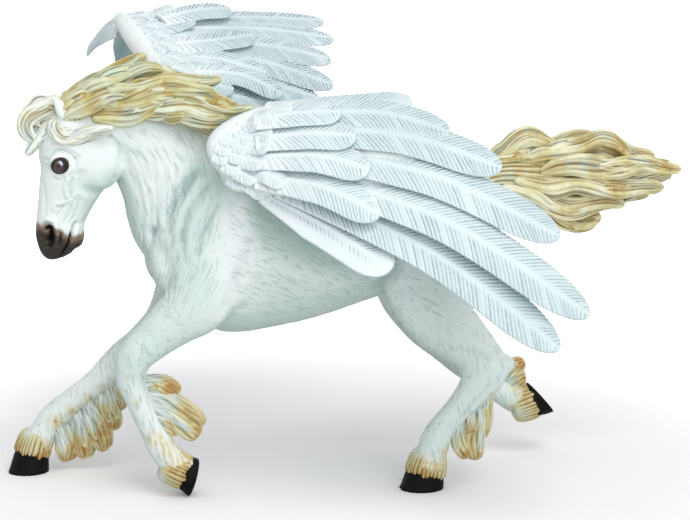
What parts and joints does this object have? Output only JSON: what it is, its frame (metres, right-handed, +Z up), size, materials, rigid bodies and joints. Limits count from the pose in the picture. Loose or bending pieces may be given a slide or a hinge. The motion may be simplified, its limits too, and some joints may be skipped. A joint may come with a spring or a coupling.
{
  "type": "pegasus figurine",
  "caption": "Galloping winged horse figurine, one solid moulding on three hooves, near wing swept down and back, far wing raised, mane, tail and leg feathering flying.",
  "frame": {"origin": "middle of the bounding box in plan, on the ground that the hooves stand on", "axes": "-X is where the horse gallops, its left side is -Y, +Z is up"},
  "size_m": [0.202, 0.158, 0.1403],
  "materials": {
    "painted_vinyl": "hand-painted matt white with a pale teal wash"
  },
  "bodies": {
    "root": {"pegasus_figurine": "painted_vinyl"}
  },
  "joints": []
}
